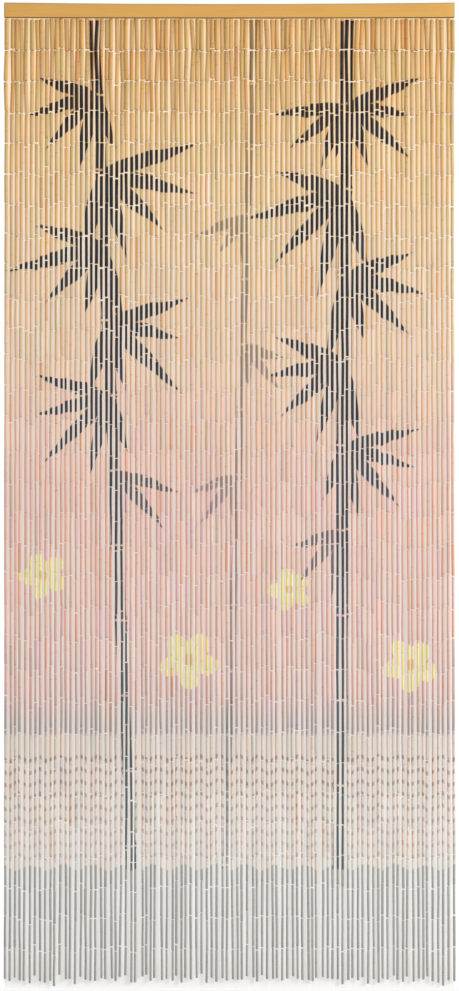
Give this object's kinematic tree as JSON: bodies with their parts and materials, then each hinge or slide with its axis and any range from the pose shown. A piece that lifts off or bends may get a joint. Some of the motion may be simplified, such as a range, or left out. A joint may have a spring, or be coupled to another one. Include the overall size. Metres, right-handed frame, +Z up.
{
  "type": "bamboo bead door curtain on a wooden batten",
  "caption": "Door curtain of hanging bamboo tube bead strings side by side under a slim wooden batten, painted from gold down to pale grey.",
  "frame": {"origin": "middle of the batten's flat back face, the face that goes against the wall or door head", "axes": "+Z up, the front of the curtain faces -Y, +X to the right seen from the front"},
  "size_m": [0.9035, 0.01, 1.9654],
  "materials": {
    "painted_batten": "matt gold paint on planed wood",
    "painted_bamboo": "satin paint on bamboo, gold at the top through salmon to pale grey at the foot",
    "galvanised_wire": "dull zinc on thin steel wire, for the eyes that link the beads"
  },
  "bodies": {
    "root": {"batten": "painted_batten", "bead_strings": "painted_bamboo"}
  },
  "joints": []
}
